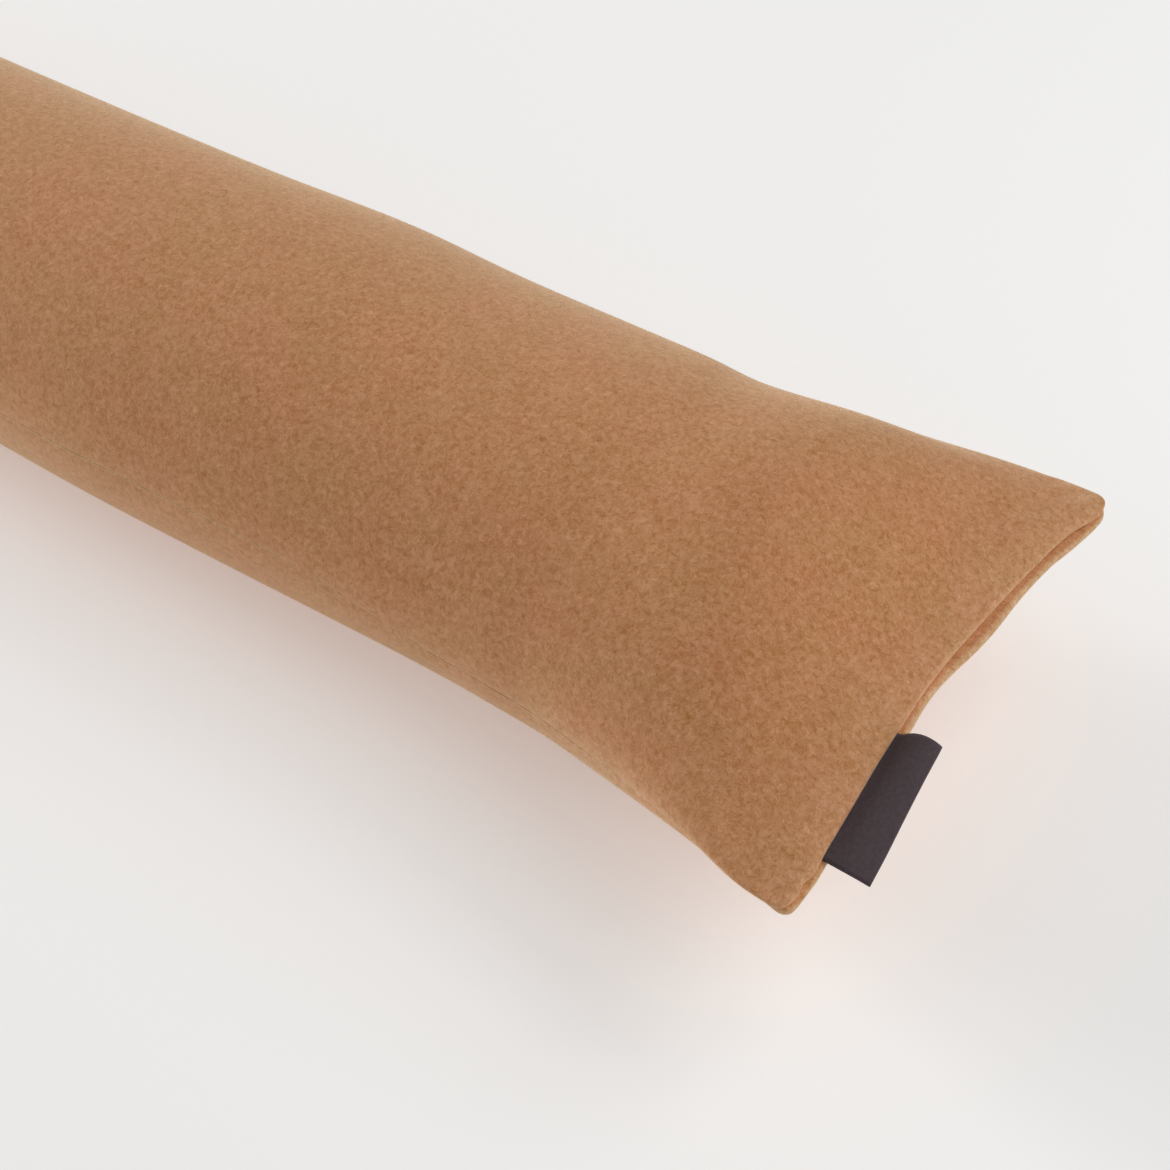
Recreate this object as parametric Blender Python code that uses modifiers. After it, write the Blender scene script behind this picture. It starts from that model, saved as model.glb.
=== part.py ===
"""A stuffed fabric draught excluder, lying on its back on a flat surface.

The cover is two long felted panels, seamed all round and turned right side out, then
filled. Each end is drawn in towards its seam, so the two corners there flare outwards.
A folded woven tape is caught in the end seam at +X.

Units are metres, with +Z up. The origin is on the surface that the excluder lies on,
under the middle of its length. The length runs along X and the nearer long seam is at -Y.
"""
from math import copysign, cos, exp, pi, radians, sin, sqrt

import bmesh
import bpy
from mathutils import Vector

# Driving sizes of the filled cover. Its core is a line along the middle of its length.
LENGTH = 0.900
HALF_LENGTH = LENGTH / 2
CORE_REACH = HALF_LENGTH / 2
CORNER_RADIUS = 0.006

# Each end seam bows inwards and upwards in its middle, and its near corner is set back.
# All three die away along the length.
END_SEAM_BOW = 0.0037
END_SEAM_LIFT = 0.0047
END_SEAM_SET_BACK = 0.0028
END_SEAM_FADE = 0.025

# The turned seam: two rolled lips with a groove between them.
LIP_HALF_HEIGHT = 0.0018
GROOVE_DEPTH = 0.0026

# The filled cover's sections, from an end seam to the middle of the length. The crown
# and the seam are heights above the surface, and the half widths are to the seam's lips.
# The belly is how far the filling would hang below the seam if no surface held it up.
SECTION_COLUMNS = (
    "from_end",
    "near_half_width",
    "far_half_width",
    "crown_height",
    "seam_height",
    "belly_depth",
)
SECTIONS = (
    (0.000, 0.0788, 0.0774, 0.0488, 0.0455, 0.0028),
    (0.015, 0.0778, 0.0750, 0.0572, 0.0460, 0.0110),
    (0.033, 0.0720, 0.0705, 0.0686, 0.0453, 0.0240),
    (0.058, 0.0643, 0.0630, 0.0810, 0.0425, 0.0375),
    (0.088, 0.0580, 0.0570, 0.0840, 0.0418, 0.0445),
    (0.123, 0.0570, 0.0562, 0.0857, 0.0418, 0.0455),
    (0.163, 0.0585, 0.0555, 0.0871, 0.0422, 0.0465),
    (0.203, 0.0593, 0.0558, 0.0886, 0.0428, 0.0475),
    (0.248, 0.0595, 0.0526, 0.0894, 0.0430, 0.0483),
    (0.298, 0.0585, 0.0512, 0.0897, 0.0430, 0.0488),
    (0.353, 0.0570, 0.0506, 0.0897, 0.0428, 0.0490),
    (0.450, 0.0556, 0.0513, 0.0897, 0.0426, 0.0490),
)

# Each panel's grid. Crowding 0 spaces its rows evenly, and 1 as a sine does.
PANEL_ROWS = 68
PANEL_COLUMNS = 26
ROW_CROWDING = 0.9

# The label: a woven tape folded in half, its fold outermost and its two ends in the seam.
# It lies level at its near end and tilts up towards its far end.
LABEL_LENGTH = 0.040
LABEL_FROM_CORNER = 0.0090
LABEL_REACH = 0.0118
LABEL_TUCK = 0.0004
LABEL_LAYER = 0.0010
LABEL_LAYER_GAP = 0.0004
LABEL_BELLY = 0.0004
LABEL_FAR_END_TILT = radians(22)
LABEL_STEPS = 14
LABEL_LEG_STEPS = 5
LABEL_FOLD_STEPS = 6

# Colours are linear red, green and blue.
FELT_COLOUR = (0.402, 0.199, 0.092, 1.0)
FELT_ROUGHNESS = 0.92
TAPE_COLOUR = (0.032, 0.026, 0.034, 1.0)
TAPE_ROUGHNESS = 0.75


def clear_scene():
    """Remove the objects that are already in the scene."""
    for thing in list(bpy.data.objects):
        bpy.data.objects.remove(thing, do_unlink=True)


def make_material(name, colour, roughness):
    """A plain surface of one colour and roughness."""
    material = bpy.data.materials.new(name)
    material.use_nodes = True
    shader = material.node_tree.nodes["Principled BSDF"]
    shader.inputs["Base Color"].default_value = colour
    shader.inputs["Roughness"].default_value = roughness
    shader.inputs["Metallic"].default_value = 0.0
    return material


def add_object(collection, name, bm, material):
    """Turn finished mesh work into a named object with its material."""
    mesh = bpy.data.meshes.new(name)
    bm.to_mesh(mesh)
    bm.free()
    mesh.shade_smooth()
    mesh.materials.append(material)
    thing = bpy.data.objects.new(name, mesh)
    collection.objects.link(thing)
    return thing


def section_slope(column, row):
    """Slope of a column at a row; the two halves of the cover meet level in the middle."""
    last = len(SECTIONS) - 1
    if row == last:
        return 0.0
    before = SECTIONS[max(row - 1, 0)]
    after = SECTIONS[row + 1]
    return (after[column] - before[column]) / (after[0] - before[0])


def section_value(name, from_end):
    """Read a named column on a smooth curve through the table's rows."""
    column = SECTION_COLUMNS.index(name)
    row = 0
    while row < len(SECTIONS) - 2 and from_end > SECTIONS[row + 1][0]:
        row += 1
    start, stop = SECTIONS[row], SECTIONS[row + 1]
    span = stop[0] - start[0]
    s = min(max((from_end - start[0]) / span, 0.0), 1.0)
    rise_start = (1 + 2 * s) * (1 - s) ** 2 * start[column]
    rise_stop = s * s * (3 - 2 * s) * stop[column]
    slope_start = s * (1 - s) ** 2 * span * section_slope(column, row)
    slope_stop = s * s * (s - 1) * span * section_slope(column, row + 1)
    return rise_start + rise_stop + slope_start + slope_stop


def corner_cut(from_end):
    """How far a rounded corner pulls the side in at this distance from the end."""
    if from_end >= CORNER_RADIUS:
        return 0.0
    reach = CORNER_RADIUS - from_end
    return CORNER_RADIUS - sqrt(CORNER_RADIUS**2 - reach**2)


def half_width(side, from_end):
    """Half width to the seam's lips; side is -1 for the near edge and 1 for the far one."""
    name = "near_half_width" if side < 0 else "far_half_width"
    return section_value(name, from_end) - corner_cut(from_end)


def cover_point(from_end, across, direction):
    """A point of a panel at the +X end; direction is 1 on the top panel, -1 underneath.

    Across runs from -1 at the near seam to 1 at the far one, and is the cosine of the
    angle round the section. What would reach below the surface lies flat on it.
    """
    side = -1 if across < 0 else 1
    arch = sqrt(max(1 - across**2, 0.0))
    fade = exp(-from_end / END_SEAM_FADE)
    seam = section_value("seam_height", from_end)
    if direction > 0:
        swell = section_value("crown_height", from_end) - seam - LIP_HALF_HEIGHT
    else:
        swell = section_value("belly_depth", from_end) - LIP_HALF_HEIGHT
    drawn_in = END_SEAM_BOW * arch**2 + END_SEAM_SET_BACK * (1 - across) / 2
    x = HALF_LENGTH - from_end - drawn_in * fade
    y = across * half_width(side, from_end)
    z = seam + END_SEAM_LIFT * fade * arch**2 + direction * (LIP_HALF_HEIGHT + swell * arch)
    return Vector((x, y, max(z, 0.0)))


def row_places():
    """Rows of a panel from -1 to 1 along the length, closer together towards the ends."""
    even_places = [2 * row / PANEL_ROWS - 1 for row in range(PANEL_ROWS + 1)]
    return [even + ROW_CROWDING * (sin(even * pi / 2) - even) for even in even_places]


def column_places():
    """Columns of a panel from -1 to 1, at equal angles round a section."""
    return [-cos(pi * column / PANEL_COLUMNS) for column in range(PANEL_COLUMNS + 1)]


def grid_line(place, count):
    """Number of a flat grid's line from its place between -1 and 1."""
    return round((place + 1) / 2 * count)


def add_panel(bm, direction):
    """Lay one panel as a flat grid, move it to the filled shape and return its rim."""
    grid = bmesh.ops.create_grid(bm, x_segments=PANEL_ROWS, y_segments=PANEL_COLUMNS, size=1.0)
    rows = row_places()
    columns = column_places()
    for vert in grid["verts"]:
        row = rows[grid_line(vert.co.x, PANEL_ROWS)]
        column = columns[grid_line(vert.co.y, PANEL_COLUMNS)]
        point = cover_point(HALF_LENGTH * (1 - abs(row)), column, direction)
        point.x = copysign(point.x, row)
        vert.co = point
    panel = set(grid["verts"])
    return [edge for edge in bm.edges if edge.is_boundary and edge.verts[0] in panel]


def outward_from(vert, loop):
    """Level direction out of the cover at a point of a loop that runs round it."""
    around = [edge.other_vert(vert) for edge in vert.link_edges]
    before, after = [other for other in around if other in loop]
    run = after.co - before.co
    outward = Vector((run.y, -run.x, 0.0)).normalized()
    core = Vector((max(min(vert.co.x, CORE_REACH), -CORE_REACH), 0.0, vert.co.z))
    if outward.dot(vert.co - core) < 0:
        outward.negate()
    return outward


def sink_groove(floor):
    """Move the loop of points between the two rims inwards, to the groove's floor."""
    loop = set(floor)
    moves = [(vert, outward_from(vert, loop) * GROOVE_DEPTH) for vert in floor]
    for vert, move in moves:
        vert.co -= move


def build_cushion(collection):
    """The filled cover: two panels that meet in the groove of a turned seam."""
    bm = bmesh.new()
    rims = add_panel(bm, 1) + add_panel(bm, -1)
    bridge = bmesh.ops.bridge_loops(bm, edges=rims)
    split = bmesh.ops.subdivide_edges(bm, edges=bridge["edges"], cuts=1)
    sink_groove([item for item in split["geom_inner"] if isinstance(item, bmesh.types.BMVert)])
    bmesh.ops.recalc_face_normals(bm, faces=bm.faces)
    felt = make_material("camel felt", FELT_COLOUR, FELT_ROUGHNESS)
    return add_object(collection, "cushion", bm, felt)


def end_seam_point(y):
    """The mouth of the +X end seam's groove at a place across the end."""
    side = -1 if y < 0 else 1
    across = y / half_width(side, 0.0)
    return (cover_point(0.0, across, 1) + cover_point(0.0, across, -1)) / 2


def tape_profile():
    """The folded tape's middle line: reach out from the seam, and height above it."""
    fold_radius = (LABEL_LAYER + LABEL_LAYER_GAP) / 2
    fold_start = LABEL_REACH - LABEL_LAYER / 2 - fold_radius
    upper = []
    for step in range(LABEL_LEG_STEPS + 1):
        s = step / LABEL_LEG_STEPS
        reach = -LABEL_TUCK + (fold_start + LABEL_TUCK) * s
        upper.append((reach, fold_radius + LABEL_BELLY * sin(pi * s) ** 2))
    fold = []
    for step in range(1, LABEL_FOLD_STEPS):
        turn = pi * step / LABEL_FOLD_STEPS
        fold.append((fold_start + fold_radius * sin(turn), fold_radius * cos(turn)))
    lower = [(reach, -height) for reach, height in reversed(upper)]
    return upper + fold + lower


def build_label(collection):
    """The folded tape, swept along its stretch of the end seam."""
    profile = tape_profile()
    near_end = LABEL_FROM_CORNER - half_width(-1, 0.0)
    bm = bmesh.new()
    segments = len(profile) - 1
    grid = bmesh.ops.create_grid(bm, x_segments=LABEL_STEPS, y_segments=segments, size=1.0)
    for vert in grid["verts"]:
        along = (vert.co.x + 1) / 2
        reach, height = profile[grid_line(vert.co.y, segments)]
        point = end_seam_point(near_end + LABEL_LENGTH * along)
        tilt = LABEL_FAR_END_TILT * along
        point.x += reach * cos(tilt)
        point.z += height + max(reach, 0.0) * sin(tilt)
        vert.co = point
    bmesh.ops.recalc_face_normals(bm, faces=bm.faces)
    tape = make_material("woven tape", TAPE_COLOUR, TAPE_ROUGHNESS)
    label = add_object(collection, "label", bm, tape)
    layer = label.modifiers.new("tape thickness", "SOLIDIFY")
    layer.thickness = LABEL_LAYER
    layer.offset = 0.0
    return label


def main():
    """Build the excluder in a collection of its own."""
    clear_scene()
    collection = bpy.data.collections.new("draught excluder")
    bpy.context.scene.collection.children.link(collection)
    build_cushion(collection)
    build_label(collection)


main()
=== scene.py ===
# %% [markdown]
# # A stuffed draught excluder
#
# The object is a long slim cushion of camel felt that lies at the foot of a door. Two long
# panels are sewn together all round, turned right side out and filled, and a dark woven
# tape is folded in half and caught in one end seam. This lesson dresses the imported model:
# it keeps its sizes and places, and makes the cover, its seam, its felt and the label in a
# finer form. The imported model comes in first, because everything is measured from it.

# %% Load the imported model
from math import asin, atan2, copysign, cos, exp, pi, radians, sin, sqrt, tau

import bmesh
import bpy
import numpy as np
from mathutils import Matrix, Vector


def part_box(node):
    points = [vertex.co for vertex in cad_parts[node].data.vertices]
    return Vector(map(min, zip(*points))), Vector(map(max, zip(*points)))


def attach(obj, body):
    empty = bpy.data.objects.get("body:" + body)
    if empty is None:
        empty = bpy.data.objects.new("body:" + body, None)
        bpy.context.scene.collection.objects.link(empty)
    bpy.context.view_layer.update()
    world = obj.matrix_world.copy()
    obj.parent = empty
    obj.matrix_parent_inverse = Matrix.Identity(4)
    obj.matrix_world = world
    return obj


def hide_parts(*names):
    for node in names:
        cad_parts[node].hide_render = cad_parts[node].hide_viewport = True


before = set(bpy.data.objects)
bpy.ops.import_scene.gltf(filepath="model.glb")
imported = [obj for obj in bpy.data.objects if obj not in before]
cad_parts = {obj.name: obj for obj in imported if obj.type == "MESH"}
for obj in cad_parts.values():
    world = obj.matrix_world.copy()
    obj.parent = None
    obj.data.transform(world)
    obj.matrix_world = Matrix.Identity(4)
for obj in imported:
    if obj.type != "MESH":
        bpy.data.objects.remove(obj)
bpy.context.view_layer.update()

_, cushion_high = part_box("cushion")

# %% [markdown]
# ## The camera
#
# The photograph looks down on the end with the label, from close by, so near things are
# clearly larger than far ones. A camera could be aimed by a constraint, but an azimuth, an
# elevation and a small roll are easier to read and to change. They give three directions,
# and those are the columns of the camera's matrix.

# %% Place the camera
CAMERA_AZIMUTH = radians(36.75)
CAMERA_ELEVATION = radians(46.661)
CAMERA_ROLL = radians(-2.092)
CAMERA_DISTANCE = 0.5547
CAMERA_TARGET = Vector((0.3467, -0.0147, 0.035))
LENS_MM = 65.9
SENSOR_MM = 36.0
NEAREST_SHOWN = 0.02

backwards = Vector((
    sin(CAMERA_AZIMUTH) * cos(CAMERA_ELEVATION),
    -cos(CAMERA_AZIMUTH) * cos(CAMERA_ELEVATION),
    sin(CAMERA_ELEVATION),
))
level_right = Vector((cos(CAMERA_AZIMUTH), sin(CAMERA_AZIMUTH), 0.0))
level_up = backwards.cross(level_right)
right = level_right * cos(CAMERA_ROLL) + level_up * sin(CAMERA_ROLL)
up = level_up * cos(CAMERA_ROLL) - level_right * sin(CAMERA_ROLL)

camera_data = bpy.data.cameras.new("camera")
camera_data.lens = LENS_MM
camera_data.sensor_width = SENSOR_MM
camera_data.clip_start = NEAREST_SHOWN
camera = bpy.data.objects.new("camera", camera_data)
turn = Matrix((right, up, backwards)).transposed().to_4x4()
place = CAMERA_TARGET + backwards * CAMERA_DISTANCE
camera.matrix_world = Matrix.Translation(place) @ turn
bpy.context.scene.collection.objects.link(camera)
bpy.context.scene.camera = camera
print("camera stands at, mm:", [round(1000 * side) for side in place])

# %% [markdown]
# ## Floor and light
#
# The excluder lies on a plain pale floor. The light is soft and comes from above and from
# behind the object, so the shadow falls towards the camera and has no edge. Stronger lamps
# alone would burn out the floor before its shadow became light enough. So the floor also
# glows a little by itself, like a photographer's light table, wide area lamps give the
# light its direction, and a pale sky fills the rest.

# %% Lay the floor
FLOOR_SIZE = 8.0
FLOOR_DROP = 0.0004  # keeps the floor clear of the flat underside
FLOOR_COLOUR = (0.83, 0.83, 0.82, 1.0)
FLOOR_ROUGHNESS = 0.75
FLOOR_GLOSS = 0.2
GLOW_COLOUR = (1.0, 0.992, 0.985, 1.0)
GLOW_STRENGTH = 0.285

floor_mesh = bmesh.new()
bmesh.ops.create_grid(floor_mesh, x_segments=1, y_segments=1, size=FLOOR_SIZE / 2)
floor_data = bpy.data.meshes.new("floor")
floor_mesh.to_mesh(floor_data)
floor_mesh.free()
floor = bpy.data.objects.new("floor", floor_data)
floor.location.z = -FLOOR_DROP
bpy.context.scene.collection.objects.link(floor)
paper = bpy.data.materials.new("pale floor")
paper.use_nodes = True
paper_shader = paper.node_tree.nodes["Principled BSDF"]
paper_shader.inputs["Base Color"].default_value = FLOOR_COLOUR
paper_shader.inputs["Roughness"].default_value = FLOOR_ROUGHNESS
paper_shader.inputs["Specular IOR Level"].default_value = FLOOR_GLOSS
paper_shader.inputs["Emission Color"].default_value = GLOW_COLOUR
paper_shader.inputs["Emission Strength"].default_value = GLOW_STRENGTH
floor_data.materials.append(paper)
print("floor, m:", FLOOR_SIZE)

# %% Light the scene
LAMPS = {
    "behind": dict(place=(0.95, 0.85, 1.10), size=0.9, watts=5.5),
    "beside": dict(place=(1.40, 0.08, 0.92), size=1.0, watts=5.1),
    "far end": dict(place=(-1.50, -0.22, 0.60), size=0.9, watts=20.5),
}
LAMP_AIM = Vector((0.35, 0.0, 0.0))
SKY_COLOUR = (1.0, 0.998, 0.992, 1.0)
SKY_STRENGTH = 0.20

for name, lamp in LAMPS.items():
    light_data = bpy.data.lights.new(name, "AREA")
    light_data.shape = "DISK"
    light_data.size = lamp["size"]
    light_data.energy = lamp["watts"]
    light = bpy.data.objects.new(name, light_data)
    light.location = lamp["place"]
    aim = LAMP_AIM - Vector(lamp["place"])
    light.rotation_euler = aim.to_track_quat("-Z", "Y").to_euler()
    bpy.context.scene.collection.objects.link(light)

sky = bpy.data.worlds.new("pale sky")
sky.use_nodes = True
background = sky.node_tree.nodes["Background"]
background.inputs["Color"].default_value = SKY_COLOUR
background.inputs["Strength"].default_value = SKY_STRENGTH
bpy.context.scene.world = sky
bpy.context.scene.view_settings.view_transform = "Standard"
print("lamps:", sorted(LAMPS))

# %% [markdown]
# ## The felt
#
# Wool felt has no weave. It is a mat of short curly fibres in slightly different browns,
# so from close by it looks mottled, and at a glancing angle the loose fibres catch the
# light and pale it. A photograph could be projected on it, but a pattern from noise has no
# end and no stretch. The thin lines along which a noise is exactly half way between dark
# and light are long, curly and never cross at an angle, like fibres. Two such sets of
# lines are laid over a fine mottle. They read the object's own coordinates, so the pattern
# runs on over each seam without a join.

# %% Helpers for materials
def add_node(tree, kind, label, **values):
    """Add a shader node with its settings and the values of its named sockets."""
    node = tree.nodes.new(kind)
    node.label = label
    for name, value in values.items():
        if hasattr(node, name):
            setattr(node, name, value)
        else:
            node.inputs[name.replace("_", " ")].default_value = value
    return node


def add_noise(tree, coordinates, label, scale, detail=0.0, roughness=0.5, distortion=0.0):
    """Noise with so many features to the metre; returns its grey output."""
    noise = add_node(tree, "ShaderNodeTexNoise", label, Scale=scale, Detail=detail,
                     Roughness=roughness, Distortion=distortion)
    tree.links.new(coordinates, noise.inputs["Vector"])
    return noise.outputs["Fac"]


def remap(tree, value, label, low, high, to_low=0.0, to_high=1.0):
    """Stretch a range of a value over another range, and keep it inside."""
    node = add_node(tree, "ShaderNodeMapRange", label, clamp=True)
    for socket, number in zip(("From Min", "From Max", "To Min", "To Max"),
                              (low, high, to_low, to_high)):
        node.inputs[socket].default_value = number
    tree.links.new(value, node.inputs["Value"])
    return node.outputs["Result"]


def calculate(tree, operation, first, second, label=""):
    """A sum, product or other operation on two values; each is a socket or a number."""
    node = add_node(tree, "ShaderNodeMath", label, operation=operation)
    for socket, value in zip(node.inputs, (first, second)):
        if isinstance(value, (int, float)):
            socket.default_value = value
        else:
            tree.links.new(value, socket)
    return node.outputs["Value"]


def mix_colours(tree, share, first, second, label, blend="MIX"):
    """Mix two colours by a share; each is a socket or a colour."""
    node = add_node(tree, "ShaderNodeMix", label, data_type="RGBA", blend_type=blend)
    for socket, value in ((node.inputs[0], share), (node.inputs[6], first),
                          (node.inputs[7], second)):
        if isinstance(value, (int, float, tuple)):
            socket.default_value = value
        else:
            tree.links.new(value, socket)
    return node.outputs[2]


print("material helpers ready")

# %% Make the felt
FELT = dict(
    dark=(0.450, 0.154, 0.028, 1.0),
    light=(0.825, 0.418, 0.222, 1.0),
    olive=(0.980, 1.015, 0.980, 1.0),
    rose=(1.020, 0.985, 1.010, 1.0),
    # paler, greyer felt for the lips and the ends: partly wear, partly painted light
    wear_and_painted_light=(1.130, 1.480, 1.800, 1.0),
)
FELT_ROUGHNESS = 0.95
FELT_GLOSS = 0.15
FELT_SHEEN = 0.65
FELT_SHEEN_ROUGHNESS = 0.5
FELT_SHEEN_TINT = (1.0, 0.85, 0.60, 1.0)
MOTTLE_PER_M = 600.0
MOTTLE_RANGE = (0.22, 0.76)
CURL_PER_M = 640.0
LIGHT_CURL_WIDTH = 0.05
LIGHT_CURL_GAIN = 0.15
DARK_CURLS_FINER = 1.31
DARK_CURL_WIDTH = 0.045
DARK_CURL_GAIN = 0.22
CLOUD_PER_M = 120.0
CLOUD_RANGE = (0.3, 0.7)
CLOUD_GAIN = 0.04
DRIFT_PER_M = 50.0
DRIFT_RANGE = (0.35, 0.65)
CURL_RELIEF = 0.5
FELT_BUMP = dict(Strength=0.6, Distance=0.0002)


def curly_lines(tree, coordinates, label, scale, width):
    """Thin curly lines, where a noise is half way between its dark and its light."""
    noise = add_noise(tree, coordinates, label, scale, detail=1.0, distortion=0.7)
    away = calculate(tree, "ABSOLUTE", calculate(tree, "SUBTRACT", noise, 0.5), 0.0)
    return remap(tree, away, label + " width", 0.0, width, 1.0, 0.0)


def make_felt():
    """Mottled camel felt with curly fibres, a soft nap, and paler seams and ends: partly wear,
    partly painted light.
    """
    felt = bpy.data.materials.new("camel felt")
    felt.use_nodes = True
    tree = felt.node_tree
    shader = tree.nodes["Principled BSDF"]
    shader.inputs["Roughness"].default_value = FELT_ROUGHNESS
    shader.inputs["Specular IOR Level"].default_value = FELT_GLOSS
    shader.inputs["Sheen Weight"].default_value = FELT_SHEEN
    shader.inputs["Sheen Roughness"].default_value = FELT_SHEEN_ROUGHNESS
    shader.inputs["Sheen Tint"].default_value = FELT_SHEEN_TINT
    coordinates = add_node(tree, "ShaderNodeTexCoord", "place").outputs["Object"]

    mottle = add_noise(tree, coordinates, "mottle", MOTTLE_PER_M, detail=4.0, roughness=0.75,
                       distortion=0.6)
    cloud = add_noise(tree, coordinates, "cloud", CLOUD_PER_M, detail=2.0)
    drift = add_noise(tree, coordinates, "drift", DRIFT_PER_M, detail=2.0)
    light_lines = curly_lines(tree, coordinates, "light fibres", CURL_PER_M,
                              LIGHT_CURL_WIDTH)
    dark_lines = curly_lines(tree, coordinates, "dark fibres",
                             CURL_PER_M * DARK_CURLS_FINER, DARK_CURL_WIDTH)

    lighter = calculate(tree, "MULTIPLY", light_lines, LIGHT_CURL_GAIN)
    darker = calculate(tree, "MULTIPLY", dark_lines, DARK_CURL_GAIN)
    fibres = calculate(tree, "SUBTRACT", lighter, darker, "curly fibres")
    share = calculate(tree, "ADD", remap(tree, mottle, "mottle", *MOTTLE_RANGE), fibres)
    clouded = remap(tree, cloud, "cloud", *CLOUD_RANGE, -CLOUD_GAIN, CLOUD_GAIN)
    share = calculate(tree, "ADD", share, clouded)
    ground = mix_colours(tree, share, FELT["dark"], FELT["light"], "mottled")
    tints = mix_colours(tree, remap(tree, drift, "drift", *DRIFT_RANGE), FELT["olive"],
                        FELT["rose"], "drift of the dye")
    ground = mix_colours(tree, 1.0, ground, tints, "dyed", "MULTIPLY")
    # a share on each point pales the felt: partly wear, partly painted light on the lips and
    # the ends
    wear_and_painted_light = add_node(tree, "ShaderNodeAttribute", "worn seam and painted light", attribute_name="wear_and_painted_light")
    ground = mix_colours(tree, wear_and_painted_light.outputs["Fac"], ground, FELT["wear_and_painted_light"], "worn seam and painted light",
                         "MULTIPLY")
    tree.links.new(ground, shader.inputs["Base Color"])

    raised = calculate(tree, "MULTIPLY", light_lines, CURL_RELIEF)
    height = calculate(tree, "ADD", mottle, raised)
    bump = add_node(tree, "ShaderNodeBump", "matted fibres", **FELT_BUMP)
    tree.links.new(height, bump.inputs["Height"])
    tree.links.new(bump.outputs["Normal"], shader.inputs["Normal"])
    return felt


felt = make_felt()
print("felt nodes:", len(felt.node_tree.nodes))

# %% [markdown]
# ## The filled cover
#
# A maker cuts two strips, sews them all round, turns them and fills them. Filled round, a
# flat tube becomes narrower, but its sewn ends can't, so both corners of an end flare. A
# box with a Subdivision Surface could give a rough pillow, but not these sections. Here
# each panel starts as a flat grid, as the cloth does, and its points are moved to the
# filled shape: across the grid they follow half an oval, and along it a short table of
# sections gives the oval's sizes. Rows and columns are closer together near the seam,
# where the cloth bends most.

# %% Sizes of the filled cover
HALF_LENGTH = cushion_high.x
CORNER_RADIUS = 0.0042
END_SEAM_LIFT = 0.0047
END_SEAM_FADE = 0.025

SECTION_COLUMNS = (
    "from_end",
    "near_half_width",
    "far_half_width",
    "crown_height",
    "seam_height",
    "belly_depth",
    "near_seam_rise",
    "near_overhang",
    "lip_radius",
)
SECTIONS = (
    (0.000, 0.0799, 0.0768, 0.0488, 0.0455, 0.0028, 0.0000, 0.0003, 0.0018),
    (0.015, 0.0781, 0.0756, 0.0574, 0.0460, 0.0110, 0.0000, 0.0011, 0.0013),
    (0.033, 0.0729, 0.0718, 0.0690, 0.0453, 0.0240, -0.0005, 0.0006, 0.0010),
    (0.058, 0.0653, 0.0645, 0.0816, 0.0425, 0.0375, -0.0020, 0.0001, 0.0005),
    (0.088, 0.0593, 0.0577, 0.0842, 0.0418, 0.0447, -0.0040, 0.0000, 0.0003),
    (0.104, 0.0584, 0.0580, 0.0855, 0.0418, 0.0452, -0.0041, 0.0000, 0.0003),
    (0.123, 0.0577, 0.0575, 0.0862, 0.0418, 0.0455, -0.0038, 0.0000, 0.0002),
    (0.163, 0.0583, 0.0563, 0.0872, 0.0422, 0.0465, 0.0028, 0.0000, 0.0002),
    (0.203, 0.0593, 0.0568, 0.0888, 0.0428, 0.0477, 0.0032, 0.0000, 0.0002),
    (0.248, 0.0599, 0.0532, 0.0896, 0.0430, 0.0485, 0.0028, 0.0000, 0.0003),
    (0.298, 0.0585, 0.0514, 0.0899, 0.0430, 0.0488, 0.0020, 0.0000, 0.0006),
    (0.353, 0.0571, 0.0512, 0.0897, 0.0428, 0.0490, 0.0000, 0.0000, 0.0007),
    (0.450, 0.0556, 0.0513, 0.0897, 0.0426, 0.0490, -0.0010, 0.0000, 0.0007),
)
SECTIONS += ((2 * HALF_LENGTH - SECTIONS[-2][0],) + SECTIONS[-2][1:],)

# How far inside the cover's length the outer edge of each panel's lip lies, across the end.
END_COLUMNS = ("y", "upper_in", "lower_in")
END_SEAM = (
    (-0.0788, 0.0027, 0.0018),
    (-0.0740, 0.0033, 0.0024),
    (-0.0710, 0.0037, 0.0024),
    (-0.0680, 0.0032, 0.0025),
    (-0.0640, 0.0037, 0.0028),
    (-0.0550, 0.0044, 0.0030),
    (-0.0450, 0.0052, 0.0037),
    (-0.0340, 0.0062, 0.0042),
    (-0.0250, 0.0067, 0.0047),
    (-0.0180, 0.0072, 0.0054),
    (-0.0110, 0.0076, 0.0062),
    (-0.0040, 0.0077, 0.0062),
    (0.0040, 0.0075, 0.0050),
    (0.0120, 0.0070, 0.0040),
    (0.0200, 0.0067, 0.0036),
    (0.0280, 0.0062, 0.0038),
    (0.0360, 0.0058, 0.0037),
    (0.0430, 0.0053, 0.0033),
    (0.0490, 0.0049, 0.0028),
    (0.0550, 0.0043, 0.0017),
    (0.0610, 0.0034, 0.0010),
    (0.0660, 0.0019, 0.0005),
    (0.0710, 0.0009, 0.0003),
    (0.0774, 0.0000, 0.0004),
)
LIP_BEYOND_RIM = 0.0006
print("half length, mm:", round(1000 * HALF_LENGTH, 1))


# %% Read the tables
def read_table(columns, rows, name, place):
    """Read a named column on a smooth curve through a table's rows."""
    column = columns.index(name)
    row = 0
    while row < len(rows) - 2 and place > rows[row + 1][0]:
        row += 1

    def slope(number):
        before = rows[max(number - 1, 0)]
        after = rows[min(number + 1, len(rows) - 1)]
        return (after[column] - before[column]) / (after[0] - before[0])

    start, stop = rows[row], rows[row + 1]
    span = stop[0] - start[0]
    s = min(max((place - start[0]) / span, 0.0), 1.0)
    return (
        (1 + 2 * s) * (1 - s) ** 2 * start[column]
        + s * s * (3 - 2 * s) * stop[column]
        + s * (1 - s) ** 2 * span * slope(row)
        + s * s * (s - 1) * span * slope(row + 1)
    )


def section_value(name, from_end):
    """A size of the cover's section at a distance from the end."""
    return read_table(SECTION_COLUMNS, SECTIONS, name, from_end)


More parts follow.
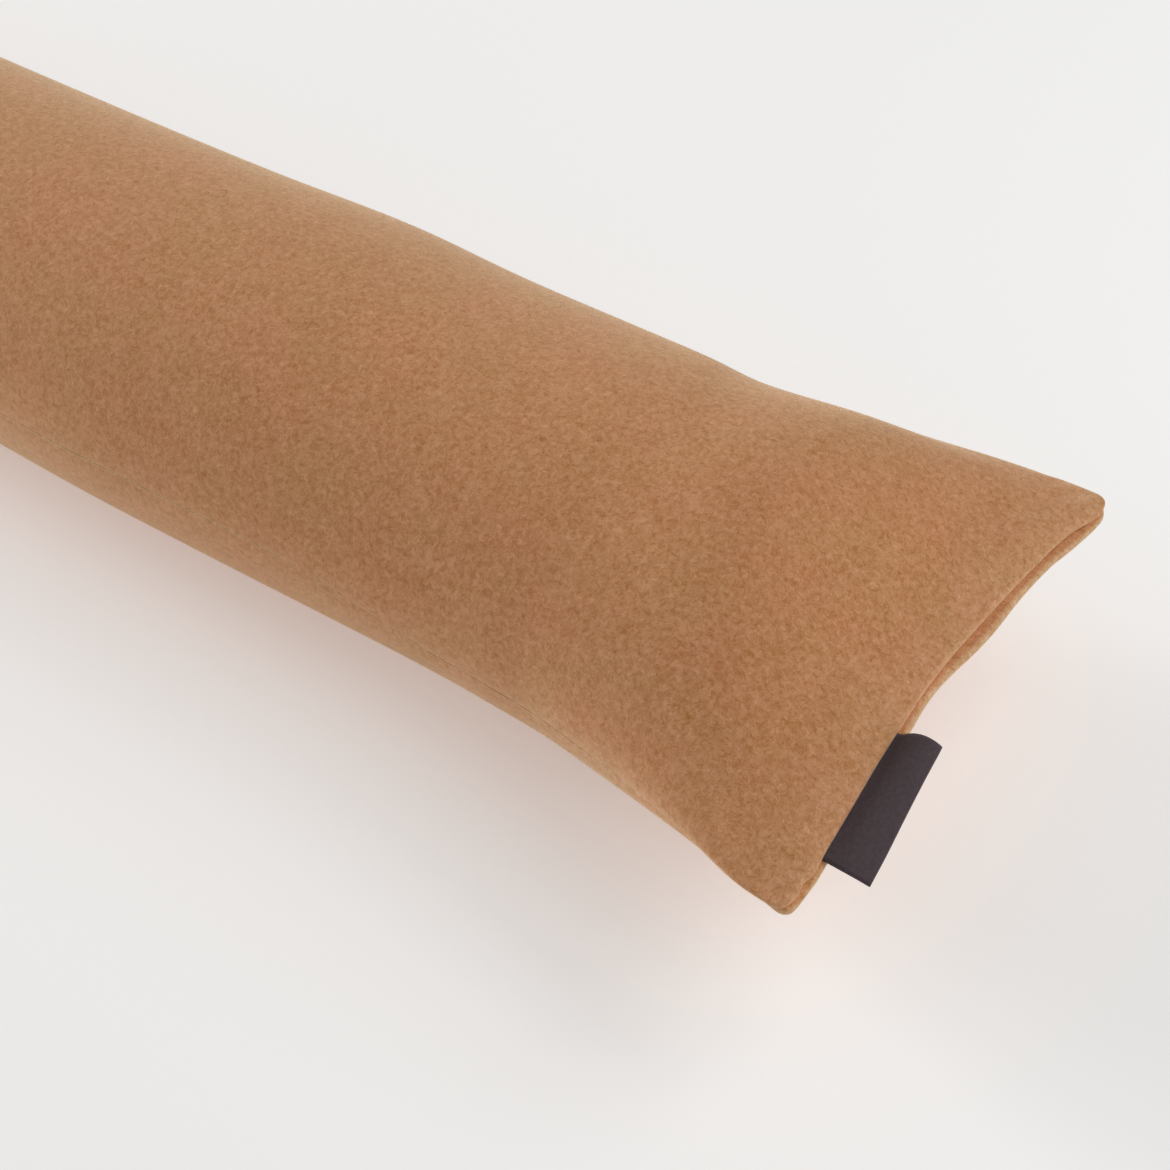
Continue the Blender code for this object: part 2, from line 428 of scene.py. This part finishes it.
def corner_cut(from_end):
    """How far a rounded corner pulls the side in at this distance from the end."""
    if from_end >= CORNER_RADIUS:
        return 0.0
    reach = CORNER_RADIUS - from_end
    return CORNER_RADIUS - sqrt(CORNER_RADIUS**2 - reach**2)


def half_width(side, from_end):
    """Half width to the seam's lips; side is -1 for the near edge and 1 for the far one."""
    name = "near_half_width" if side < 0 else "far_half_width"
    return section_value(name, from_end) - corner_cut(from_end)


def seam_height(from_end, across):
    """Height of the seam's groove above the floor."""
    arch_squared = max(1 - across**2, 0.0)
    lift = END_SEAM_LIFT * exp(-from_end / END_SEAM_FADE) * arch_squared
    return section_value("seam_height", from_end) + lift


print("middle, half width to the far lips, mm:", round(1000 * half_width(1, HALF_LENGTH), 1))


# %% Find a point of the cover
def cover_point(from_end, share, direction):
    """A point of a panel at the +X end, and the height of the seam that it belongs to.

    The share runs from 0 at the near seam to 1 at the far one, as an angle round the
    section. Direction is 1 on the top panel and -1 underneath. Where the near seam rises
    or drops, one panel reaches round on to the other's half of the oval. What would reach
    below the floor lies flat on it.
    """
    seam = section_value("seam_height", from_end)
    lip = section_value("lip_radius", from_end)
    swells = {1: section_value("crown_height", from_end) - seam - lip,
              -1: section_value("belly_depth", from_end) - lip}
    rise = section_value("near_seam_rise", from_end)
    start = direction * asin(rise / swells[1 if rise > 0 else -1])
    angle = start + (pi - start) * share
    across = -cos(angle)
    side = -1 if across < 0 else 1
    swell = swells[direction if angle > 0 else -direction]
    fade = exp(-from_end / END_SEAM_FADE)
    edge = "upper_in" if direction > 0 else "lower_in"
    y = across * half_width(side, from_end)
    drawn_in = read_table(END_COLUMNS, END_SEAM, edge, y) + LIP_BEYOND_RIM
    x = HALF_LENGTH - from_end - drawn_in * fade
    if side < 0:
        y += across * direction * section_value("near_overhang", from_end)
    lifted = seam_height(from_end, across)
    z = lifted + direction * (lip + swell * sin(angle))
    return Vector((x, y, max(z, 0.0))), lifted + (rise if side < 0 else 0.0)


crown_point, _ = cover_point(HALF_LENGTH, 0.5, 1)
print("middle, crown height, mm:", round(1000 * crown_point.z, 1))

# %% Lay the two panels
PANEL_ROWS = 200
PANEL_COLUMNS = 50
ROW_CROWDING = 0.98
COLUMN_CROWDING = 0.6


def row_place(line):
    """Place along the cover, -1 to 1, of a line of the grid."""
    even = 2 * line / PANEL_ROWS - 1
    return even + ROW_CROWDING * (sin(even * pi / 2) - even)


def column_share(line):
    """Share of the way round a panel, 0 to 1, of a line of the grid."""
    even = line / PANEL_COLUMNS
    return even - COLUMN_CROWDING * sin(tau * even) / tau


def grid_line(place, count):
    """Number of a flat grid's line from its place between -1 and 1."""
    return round((place + 1) / 2 * count)


def lay_panel(bm, direction):
    """Lay one panel as a flat grid and move it to the filled shape.

    Returns the edges of its rim, and each point's line and column in the grid.
    """
    seam_layer = bm.verts.layers.float["seam_height"]
    grid = bmesh.ops.create_grid(bm, x_segments=PANEL_ROWS, y_segments=PANEL_COLUMNS, size=1.0)
    places = []
    for vert in grid["verts"]:
        line, column = grid_line(vert.co.x, PANEL_ROWS), grid_line(vert.co.y, PANEL_COLUMNS)
        row = row_place(line)
        from_end = HALF_LENGTH * (1 - abs(row))
        point, seam = cover_point(from_end, column_share(column), direction)
        point.x = copysign(point.x, row)
        vert.co = point
        vert[seam_layer] = seam
        places.append((line, column))
    panel = set(grid["verts"])
    return [edge for edge in bm.edges if edge.is_boundary and edge.verts[0] in panel], places


cover = bmesh.new()
cover.verts.layers.float.new("seam_height")
top_rim, top_places = lay_panel(cover, 1)
under_rim, under_places = lay_panel(cover, -1)
panel_faces = len(cover.faces)
bmesh.ops.bridge_loops(cover, edges=top_rim + under_rim)
bmesh.ops.recalc_face_normals(cover, faces=cover.faces)
grid_places = np.array(top_places + under_places)
grid_panels = np.repeat([0, 1], len(top_places))
print("panels, faces:", panel_faces)

# %% [markdown]
# ## Filling it
#
# The filling presses on the cloth from inside, and the sewn edge holds it back, so the
# cloth puckers a little beside the seam. This could be sculpted, but a cloth simulation
# finds it by itself: the cover starts slightly too small, pressure fills it, the seam is
# pinned, and a band beside the seam is a little longer than its stitches, as sewing leaves
# it. Of the result only the puckers are kept. The slow part of each move is taken away
# again, because the sections already say how full the cover is.

# %% Let the pressure fill the cover
FRAMES = 20
PRESSURE = 4.0
START_INSET = 0.0020
MAX_MOVE = 0.006
PUCKER_BAND = 0.022
STITCH_HOLD = 0.006
HALF_GIRTH = 0.150
EASE_BESIDE_SEAM = 0.03
STITCHED_SHARE = 0.999
CLOTH_QUALITY = 6
CLOTH_MASS = 0.3
CLOTH_STIFFNESS = 1.5
SMOOTH_PASSES = 60
TINY = 1e-9


def seam_distance(places):
    """Rough distance of each grid point from the nearest seam, in metres."""
    lengths = np.array([HALF_LENGTH * (1 - abs(row_place(line))) for line, _ in places])
    shares = np.array([column_share(column) for _, column in places])
    arcs = HALF_GIRTH * np.minimum(shares, 1 - shares)
    return np.minimum(lengths, arcs)


def read_points(mesh):
    """The mesh's points as rows of an array."""
    flat = np.zeros(3 * len(mesh.vertices))
    mesh.vertices.foreach_get("co", flat)
    return flat.reshape(-1, 3)


def simulate(shape, beside_seam):
    """Fill a copy of the cover with pressure, and return where its points end."""
    inner = shape.copy()
    for vert in inner.verts:
        vert.co -= vert.normal * START_INSET * (1 - beside_seam[vert.index])
    mesh = bpy.data.meshes.new("filling trial")
    inner.to_mesh(mesh)
    inner.free()
    trial = bpy.data.objects.new("filling trial", mesh)
    bpy.context.scene.collection.objects.link(trial)
    pinned = trial.vertex_groups.new(name="stitched")
    eased = trial.vertex_groups.new(name="eased")
    for index, share in enumerate(beside_seam):
        if share > STITCHED_SHARE:
            pinned.add([index], 1.0, "REPLACE")
        eased.add([index], float(share), "REPLACE")
    cloth = trial.modifiers.new("filling", "CLOTH")
    settings = cloth.settings
    settings.quality = CLOTH_QUALITY
    settings.mass = CLOTH_MASS
    settings.bending_stiffness = CLOTH_STIFFNESS
    settings.use_pressure = True
    settings.uniform_pressure_force = PRESSURE
    settings.vertex_group_mass = "stitched"
    settings.vertex_group_shrink = "eased"
    settings.shrink_min = 0.0
    settings.shrink_max = -EASE_BESIDE_SEAM
    settings.effector_weights.gravity = 0.0
    cloth.point_cache.frame_start = 1
    cloth.point_cache.frame_end = FRAMES
    for number in range(1, FRAMES + 1):
        bpy.context.scene.frame_set(number)
    filled = trial.evaluated_get(bpy.context.evaluated_depsgraph_get())
    points = read_points(filled.data)
    bpy.context.scene.frame_set(1)
    bpy.data.objects.remove(trial)
    bpy.data.meshes.remove(mesh)
    return points


def slow_part(moves):
    """The smooth part of a move that is given on both panels' grids."""
    field = np.zeros((2, PANEL_ROWS + 1, PANEL_COLUMNS + 1, 3))
    field[grid_panels, grid_places[:, 0], grid_places[:, 1]] = moves
    for _ in range(SMOOTH_PASSES):
        for axis in (1, 2):
            wide = np.pad(field, [(0, 0) if a != axis else (1, 1) for a in range(4)], "edge")
            before = wide.take(range(0, wide.shape[axis] - 2), axis)
            after = wide.take(range(2, wide.shape[axis]), axis)
            field = field / 2 + (before + after) / 4
    return field[grid_panels, grid_places[:, 0], grid_places[:, 1]]


cover.verts.index_update()
distances = seam_distance(grid_places)
beside_seam = np.clip(1 - distances / PUCKER_BAND, 0.0, 1.0)
fitted = np.array([vert.co[:] for vert in cover.verts])
moves = simulate(cover, beside_seam) - fitted
lengths = np.linalg.norm(moves, axis=1, keepdims=True)
moves *= np.minimum(1.0, MAX_MOVE / np.maximum(lengths, TINY))
near_stitches = np.minimum(1.0, distances / STITCH_HOLD)
kept = near_stitches * np.clip(2 - distances / PUCKER_BAND, 0.0, 1.0)
puckers = (moves - slow_part(moves)) * kept[:, None]
for vert, place, pucker in zip(cover.verts, fitted, puckers):
    vert.co = place + pucker
    vert.co.z = max(vert.co.z, 0.0)
print("puckers, mm:", round(1000 * float(np.abs(puckers).max()), 2),
      round(1000 * float(np.sqrt((puckers**2).mean())), 3))

# %% Refine the panels
def refine(bm, levels):
    """Subdivide a mesh with a Subdivision Surface, and return it as a new bmesh."""
    mesh = bpy.data.meshes.new("cover panels")
    bm.to_mesh(mesh)
    bm.free()
    holder = bpy.data.objects.new("cover panels", mesh)
    bpy.context.scene.collection.objects.link(holder)
    finer = holder.modifiers.new("finer", "SUBSURF")
    finer.levels = finer.render_levels = levels
    finer.boundary_smooth = "PRESERVE_CORNERS"
    result = bmesh.new()
    result.from_object(holder, bpy.context.evaluated_depsgraph_get())
    bpy.data.objects.remove(holder)
    bpy.data.meshes.remove(mesh)
    return result


cover.faces.ensure_lookup_table()
bridge = cover.faces[panel_faces:]
bmesh.ops.delete(cover, geom=bridge, context="FACES_ONLY")
loose = [edge for edge in cover.edges if not edge.link_faces]
bmesh.ops.delete(cover, geom=loose, context="EDGES")
cover = refine(cover, 1)
print("refined panels, faces:", len(cover.faces))

# %% [markdown]
# ## The turned seam
#
# Turned right side out, each panel rolls over its own seam allowance and dives into the
# groove between the two. A dark line drawn on the cover would look flat. Here the rim of
# each panel is extruded step by step round a small circle, the rolled lip, which starts in
# the direction in which the panel arrives. The two lips meet at the seam, and the strip
# between them is sunk to make the groove's floor. The gap between them opens where the
# label comes out, and a little at the near corner. A value on each point pales the felt on
# the lips and near the ends: partly wear from handling, partly painted light, strongest on
# the lower lip.

# %% Sizes of the seam
LIP_STEPS = 6
LIP_BLEND = 0.0015
GROOVE_GAP = 0.0003  # across the ends
SIDE_GAP = 0.00005  # along the sides
GROOVE_DEPTH = 500.0  # of the lip's radius squared, so that thin lips make a shallow groove
GROOVE_FILL = 0.0003
THIN_LIP_FILL = 0.7  # share of a thin lip's radius
LABEL_LENGTH = 0.039
LABEL_NEAR_END = -0.0631
LABEL_FAR_END = LABEL_NEAR_END + LABEL_LENGTH
LABEL_THICKNESS = 0.0009
LABEL_OPENING_FADE = 0.0015
CORNER_MOUTH = 0.0013
CORNER_MOUTH_PLACE = -0.0722
CORNER_MOUTH_FADE = 0.0034
# painted light mixed with wear: shares by which the lips and the ends of the panels are paled
WEAR_AND_PAINTED_LIGHT = {1: 0.30, -1: 0.9}  # how much the upper and the lower lip are paled, by wear and by painted light
WEAR_AND_LIGHT_REACH = 0.014
WEAR_AND_LIGHT_FADE = 4  # the wear and painted light fade over the last quarter of a lip's roll
STEEPEST_ARRIVAL = radians(100)
FLATTEST_ARRIVAL = radians(15)
CORE_SETBACK = 0.03
CORE_REACH = HALF_LENGTH - CORE_SETBACK
print("gap at the ends and sides, mm:",
      round(1000 * GROOVE_GAP, 2), round(1000 * SIDE_GAP, 2))


# %% Read the way round the seam
def outward_from(vert, ring):
    """Level direction out of the cover at a point of a ring that runs round it."""
    around = [edge.other_vert(vert) for edge in vert.link_edges]
    before, after = [other for other in around if other in ring][:2]
    run = after.co - before.co
    outward = Vector((run.y, -run.x, 0.0)).normalized()
    core = Vector((max(min(vert.co.x, CORE_REACH), -CORE_REACH), 0.0, vert.co.z))
    if outward.dot(vert.co - core) < 0:
        outward.negate()
    return outward


def half_gap(place):
    """Half the gap between the lips: wider where the label comes out and at its corner."""
    from_end = HALF_LENGTH - abs(place.x)
    gap = SIDE_GAP + (GROOVE_GAP - SIDE_GAP) * exp(-from_end / END_SEAM_FADE)
    if place.x < 0 or from_end > END_SEAM_FADE:
        return gap / 2
    outside = max(LABEL_NEAR_END - place.y, place.y - LABEL_FAR_END, 0.0)
    gap += (LABEL_THICKNESS - gap) * exp(-((outside / LABEL_OPENING_FADE) ** 2))
    from_mouth = (place.y - CORNER_MOUTH_PLACE) / CORNER_MOUTH_FADE
    return (gap + CORNER_MOUTH * exp(-(from_mouth**2))) / 2


def inner_neighbour(vert, ring):
    """The panel's point just inside a rim point."""
    around = [edge.other_vert(vert) for edge in vert.link_edges]
    inside = [other for other in around if other not in ring]
    if inside:
        return inside[0]
    return [corner for corner in vert.link_faces[0].verts if corner not in ring][0]


def ring_order(ring):
    """The points of a ring in their order round it."""
    order = [min(ring, key=lambda vert: vert.index)]
    left = ring - {order[0]}
    while left:
        around = [edge.other_vert(order[-1]) for edge in order[-1].link_edges]
        order.append([vert for vert in around if vert in left][0])
        left.discard(order[-1])
    return order


def smooth_round(order, values, reach):
    """Average rows of values over a reach to both sides, round a ring of points."""
    points = np.array([vert.co[:] for vert in order])
    steps = np.linalg.norm(np.roll(points, -1, 0) - points, axis=1)
    places = np.concatenate([[0.0], np.cumsum(steps)[:-1]])
    gaps = np.abs(places[:, None] - places)
    gaps = np.minimum(gaps, steps.sum() - gaps)
    weights = np.exp(-((gaps / reach) ** 2)) * (steps + np.roll(steps, 1))
    return weights @ np.array(values) / weights.sum(axis=1, keepdims=True)


label_middle = Vector((HALF_LENGTH, (LABEL_NEAR_END + LABEL_FAR_END) / 2, 0.0))
print("gap round the label, mm:", round(2000 * half_gap(label_middle), 2))


# %% Roll the lips and sink the groove
def roll_lip(bm, rim, direction):
    """Extrude a rim round its lip to the seam, and return the last ring's edges."""
    seam_layer = bm.verts.layers.float["seam_height"]
    wear_and_light_layer = bm.verts.layers.float["wear_and_painted_light"]
    radius_layer = bm.verts.layers.float["lip_radius"]
    bm.verts.index_update()
    ring = {vert for edge in rim for vert in edge.verts}
    order = ring_order(ring)
    outwards = smooth_round(order, [outward_from(vert, ring)[:] for vert in order], LIP_BLEND)
    starts = []
    for vert, outward in zip(order, outwards):
        arrival = vert.co - inner_neighbour(vert, ring).co
        start = atan2(-direction * arrival.z, arrival.dot(Vector(outward)))
        starts.append([max(min(start, STEEPEST_ARRIVAL), FLATTEST_ARRIVAL)])
    starts = smooth_round(order, starts, LIP_BLEND)[:, 0]
    lips = {}
    for vert, outward, start in zip(order, outwards, starts):
        outward = Vector(outward).normalized()
        height = direction * (vert.co.z - vert[seam_layer]) - half_gap(vert.co)
        radius = height / (1 + cos(start))
        vert[radius_layer] = radius
        up_or_down = Vector((0.0, 0.0, direction))
        centre = vert.co - radius * (sin(start) * outward + cos(start) * up_or_down)
        lips[vert] = (outward, up_or_down, start, radius, centre)
        # painted light mixed with wear: the lip's rim is paled
        vert[wear_and_light_layer] = WEAR_AND_PAINTED_LIGHT[direction]
    edges = rim
    for step in range(1, LIP_STEPS + 1):
        grown = bmesh.ops.extrude_edge_only(bm, edges=edges)["geom"]
        verts = [item for item in grown if isinstance(item, bmesh.types.BMVert)]
        edges = [item for item in grown if isinstance(item, bmesh.types.BMEdge)]
        fresh = set(verts)
        edges = [edge for edge in edges if edge.verts[0] in fresh and edge.verts[1] in fresh]
        for vert in verts:
            source = [edge.other_vert(vert) for edge in vert.link_edges
                      if edge.other_vert(vert) not in fresh][0]
            outward, up_or_down, start, radius, centre = lips.pop(source)
            angle = start + (pi - start) * step / LIP_STEPS
            vert.co = centre + radius * (sin(angle) * outward + cos(angle) * up_or_down)
            # the paling, wear and painted light, fades before the lip reaches the groove
            wear_and_light_share = min(1.0, WEAR_AND_LIGHT_FADE - WEAR_AND_LIGHT_FADE * step / LIP_STEPS)
            vert[wear_and_light_layer] = WEAR_AND_PAINTED_LIGHT[direction] * wear_and_light_share
            vert[radius_layer] = radius
            lips[vert] = (outward, up_or_down, start, radius, centre)
    return edges


cover.verts.layers.float.new("wear_and_painted_light")
cover.verts.layers.float.new("lip_radius")
rims = {1: [], -1: []}
seam_layer = cover.verts.layers.float["seam_height"]
wear_and_light_layer = cover.verts.layers.float["wear_and_painted_light"]
# painted light mixed with wear: each panel is paled towards both ends, the underside most
for vert in cover.verts:
    direction = 1 if vert.co.z > vert[seam_layer] else -1
    from_end = HALF_LENGTH - abs(vert.co.x)
    vert[wear_and_light_layer] = WEAR_AND_PAINTED_LIGHT[direction] * exp(-((from_end / WEAR_AND_LIGHT_REACH) ** 2))
for edge in cover.edges:
    if edge.is_boundary:
        above = edge.verts[0].co.z > edge.verts[0][seam_layer]
        rims[1 if above else -1].append(edge)
last_rings = roll_lip(cover, rims[1], 1) + roll_lip(cover, rims[-1], -1)
strip = bmesh.ops.bridge_loops(cover, edges=last_rings)
split = bmesh.ops.subdivide_edges(cover, edges=strip["edges"], cuts=1)
floor_line = [item for item in split["geom_inner"] if isinstance(item, bmesh.types.BMVert)]
floor_ring = set(floor_line)
radius_layer = cover.verts.layers.float["lip_radius"]
sinks = []
for vert in floor_line:
    radii = [edge.other_vert(vert)[radius_layer] for edge in vert.link_edges
             if edge.other_vert(vert) not in floor_ring]
    fill = min(GROOVE_FILL, THIN_LIP_FILL * max(radii))
    depth = GROOVE_DEPTH * max(radii) ** 2 - fill
    sinks.append(outward_from(vert, floor_ring) * depth)
for vert, sink in zip(floor_line, sinks):
    vert.co -= sink
bmesh.ops.recalc_face_normals(cover, faces=cover.faces)
print("cover, faces:", len(cover.faces), "open edges:",
      sum(edge.is_boundary for edge in cover.edges))


# %% Put the cover in the scene
def add_piece(name, bm, material):
    """Turn finished mesh work into a piece that rides on the excluder."""
    mesh = bpy.data.meshes.new(name)
    bm.to_mesh(mesh)
    bm.free()
    mesh.shade_smooth()
    mesh.materials.append(material)
    piece = bpy.data.objects.new(name, mesh)
    bpy.context.scene.collection.objects.link(piece)
    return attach(piece, "root")


cover_piece = add_piece("stuffed_cover", cover, felt)
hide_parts("cushion")
print("cover, triangles:", sum(len(face.vertices) - 2 for face in cover_piece.data.polygons))

# %% [markdown]
# ## The label
#
# A narrow woven tape is folded in half, and its two ends are caught in the end seam. It is
# bare. A plane bent by a modifier would do, but a strip of grid that is moved to the tape's
# own folded line, and swept along the seam, keeps a true thickness and follows the seam's
# bow. It sags a little at its near end and springs up towards the middle of the cushion.

# %% Make the tape's finish
TAPE = dict(
    dark=(0.070, 0.048, 0.054, 1.0),
    light=(0.115, 0.084, 0.094, 1.0),
)
TAPE_ROUGHNESS = 0.7
TAPE_GLOSS = 0.3
TAPE_SHEEN = 0.15
TAPE_SHEEN_ROUGHNESS = 0.4
THREADS_PER_M = 2600.0
WEFT_SHARE = 0.8
WEAVE_SHARE = 0.6
SLUBS_PER_M = 900.0
SLUB_RANGE = (0.35, 0.65)
SLUB_SHARE = 0.4
TAPE_BUMP = dict(Strength=0.5, Distance=0.00008)


def make_tape():
    """Dark woven tape: fine ribs of warp and weft that follow the strip's own length."""
    tape = bpy.data.materials.new("woven tape")
    tape.use_nodes = True
    tree = tape.node_tree
    shader = tree.nodes["Principled BSDF"]
    shader.inputs["Roughness"].default_value = TAPE_ROUGHNESS
    shader.inputs["Specular IOR Level"].default_value = TAPE_GLOSS
    shader.inputs["Sheen Weight"].default_value = TAPE_SHEEN
    shader.inputs["Sheen Roughness"].default_value = TAPE_SHEEN_ROUGHNESS
    strip_map = add_node(tree, "ShaderNodeUVMap", "strip in metres", uv_map="strip")
    axes = add_node(tree, "ShaderNodeSeparateXYZ", "along and round")
    tree.links.new(strip_map.outputs["UV"], axes.inputs[0])
    waves = []
    for axis, share in (("X", 1.0), ("Y", WEFT_SHARE)):
        turns = calculate(tree, "MULTIPLY", axes.outputs[axis], THREADS_PER_M * share * tau)
        waves.append(calculate(tree, "SINE", turns, 0.0, "threads " + axis))
    weave = calculate(tree, "MULTIPLY", waves[0], waves[1], "crossings")
    slub = add_noise(tree, strip_map.outputs["UV"], "slubs", SLUBS_PER_M, detail=2.0)
    share = calculate(tree, "ADD", remap(tree, weave, "weave", -1.0, 1.0, 0.0, WEAVE_SHARE),
                      remap(tree, slub, "slubs", *SLUB_RANGE, 0.0, SLUB_SHARE))
    tree.links.new(mix_colours(tree, share, TAPE["dark"], TAPE["light"], "threads"),
                   shader.inputs["Base Color"])
    bump = add_node(tree, "ShaderNodeBump", "threads", **TAPE_BUMP)
    tree.links.new(weave, bump.inputs["Height"])
    tree.links.new(bump.outputs["Normal"], shader.inputs["Normal"])
    return tape


tape = make_tape()
print("tape nodes:", len(tape.node_tree.nodes))

# %% Fold the label
LABEL_REACH = 0.0118
LABEL_TUCK = 0.0030
TAPE_THICKNESS = 0.0003
LAYER_GAP = 0.0001
LABEL_BELLY = 0.0001
LABEL_SAG = 0.0006
FAR_END_RISE = 0.0033
FAR_END_SPRING = 3.4
FAR_END_SHORTER = 0.13
LABEL_STEPS = 40
LEG_STEPS = 12
FOLD_STEPS = 8


def end_seam_point(y):
    """The mouth of the +X end seam's groove at a place across the end."""
    side = -1 if y < 0 else 1
    across = y / half_width(side, 0.0)
    edges = [read_table(END_COLUMNS, END_SEAM, edge, y) for edge in END_COLUMNS[1:]]
    return Vector((HALF_LENGTH - sum(edges) / 2, y, seam_height(0.0, across)))


def tape_line():
    """The folded tape's inner line: reach out from the seam, and height above it."""
    fold_radius = LAYER_GAP / 2
    fold_start = LABEL_REACH - TAPE_THICKNESS - fold_radius
    upper = []
    for step in range(LEG_STEPS + 1):
        s = step / LEG_STEPS
        reach = -LABEL_TUCK + (fold_start + LABEL_TUCK) * s
        upper.append((reach, fold_radius + LABEL_BELLY * sin(pi * s) ** 2))
    fold = []
    for step in range(1, FOLD_STEPS):
        bend = pi * step / FOLD_STEPS
        fold.append((fold_start + fold_radius * sin(bend), fold_radius * cos(bend)))
    lower = [(reach, -height) for reach, height in reversed(upper)]
    return upper + fold + lower


line = tape_line()
run_of = [0.0]
for start, stop in zip(line, line[1:]):
    run_of.append(run_of[-1] + sqrt((stop[0] - start[0]) ** 2 + (stop[1] - start[1]) ** 2))
strip_mesh = bmesh.new()
strip_uv = strip_mesh.loops.layers.uv.new("strip")
bmesh.ops.create_grid(strip_mesh, x_segments=LABEL_STEPS, y_segments=len(line) - 1,
                      size=1.0, calc_uvs=True)
for face in strip_mesh.faces:
    for corner in face.loops:
        flat = corner.vert.co
        turn_number = grid_line(flat.y, len(line) - 1)
        corner[strip_uv].uv = (LABEL_LENGTH * (flat.x + 1) / 2, run_of[turn_number])
for vert in strip_mesh.verts:
    along = (vert.co.x + 1) / 2
    reach, height = line[grid_line(vert.co.y, len(line) - 1)]
    point = end_seam_point(LABEL_NEAR_END + LABEL_LENGTH * along)
    out = max(reach, 0.0) / LABEL_REACH
    point.x += reach * (1 - FAR_END_SHORTER * along)
    spring = out * (FAR_END_SPRING + (1 - FAR_END_SPRING) * out)
    point.z += height + FAR_END_RISE * along * spring - LABEL_SAG * out**2
    vert.co = point
bmesh.ops.recalc_face_normals(strip_mesh, faces=strip_mesh.faces)
bmesh.ops.solidify(strip_mesh, geom=strip_mesh.faces[:], thickness=TAPE_THICKNESS)
bmesh.ops.recalc_face_normals(strip_mesh, faces=strip_mesh.faces)
label_piece = add_piece("side_label", strip_mesh, tape)
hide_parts("label")
